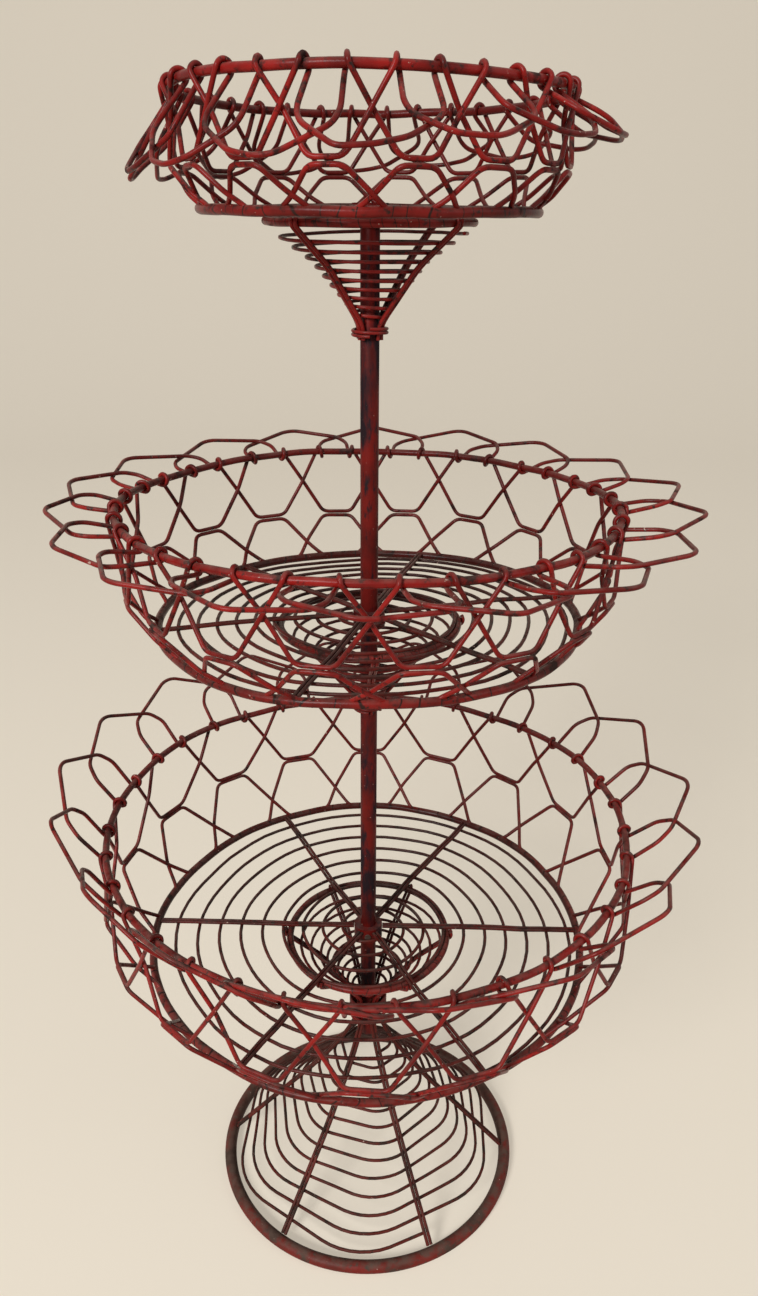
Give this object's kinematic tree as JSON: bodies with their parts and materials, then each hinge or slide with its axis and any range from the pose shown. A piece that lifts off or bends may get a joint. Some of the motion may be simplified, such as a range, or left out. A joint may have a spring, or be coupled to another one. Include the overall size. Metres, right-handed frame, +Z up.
{
  "type": "tiered wire basket",
  "caption": "Free-standing tiered basket of painted iron wire: round scallop-edged baskets on a central rod above a flared wire cone foot.",
  "frame": {"origin": "centre of the base hoop, on the ground", "axes": "+Z up the column, -Y towards the picture's camera, +X to its right"},
  "size_m": [0.4172, 0.4162, 0.7239],
  "materials": {
    "red_paint": "aged satin",
    "worn_paint": "worn matt",
    "bare_steel": "tarnished"
  },
  "bodies": {
    "root": {"base_hoop": "worn_paint", "foot_ribs": "red_paint", "foot_spiral": "red_paint", "foot_post": "red_paint", "lower_rod": "red_paint", "upper_rod": "red_paint", "hub_collars": "red_paint", "hub_rivet": "bare_steel", "neck_binding": "red_paint", "neck_foot_binding": "red_paint", "middle_cone_binding": "red_paint", "top_cone_binding": "red_paint", "bottom_support_ring": "red_paint", "bottom_cone_spiral": "red_paint", "bottom_cone_ribs": "red_paint", "bottom_floor_hoop": "worn_paint", "bottom_floor_spiral": "red_paint", "bottom_spokes": "red_paint", "bottom_rim_hoop": "red_paint", "bottom_upper_wires": "red_paint", "bottom_lower_wires": "red_paint", "bottom_petals": "red_paint", "middle_support_ring": "red_paint", "middle_cone_spiral": "red_paint", "middle_cone_ribs": "red_paint", "middle_floor_hoop": "worn_paint", "middle_floor_spiral": "red_paint", "middle_spokes": "red_paint", "middle_rim_hoop": "red_paint", "middle_upper_wires": "red_paint", "middle_lower_wires": "red_paint", "middle_petals": "red_paint", "top_support_ring": "red_paint", "top_cone_spiral": "red_paint", "top_cone_ribs": "red_paint", "top_floor_hoop": "worn_paint", "top_floor_spiral": "red_paint", "top_spokes": "red_paint", "top_rim_hoop": "red_paint", "top_upper_wires": "red_paint", "top_lower_wires": "red_paint", "top_petals": "red_paint"}
  },
  "joints": []
}
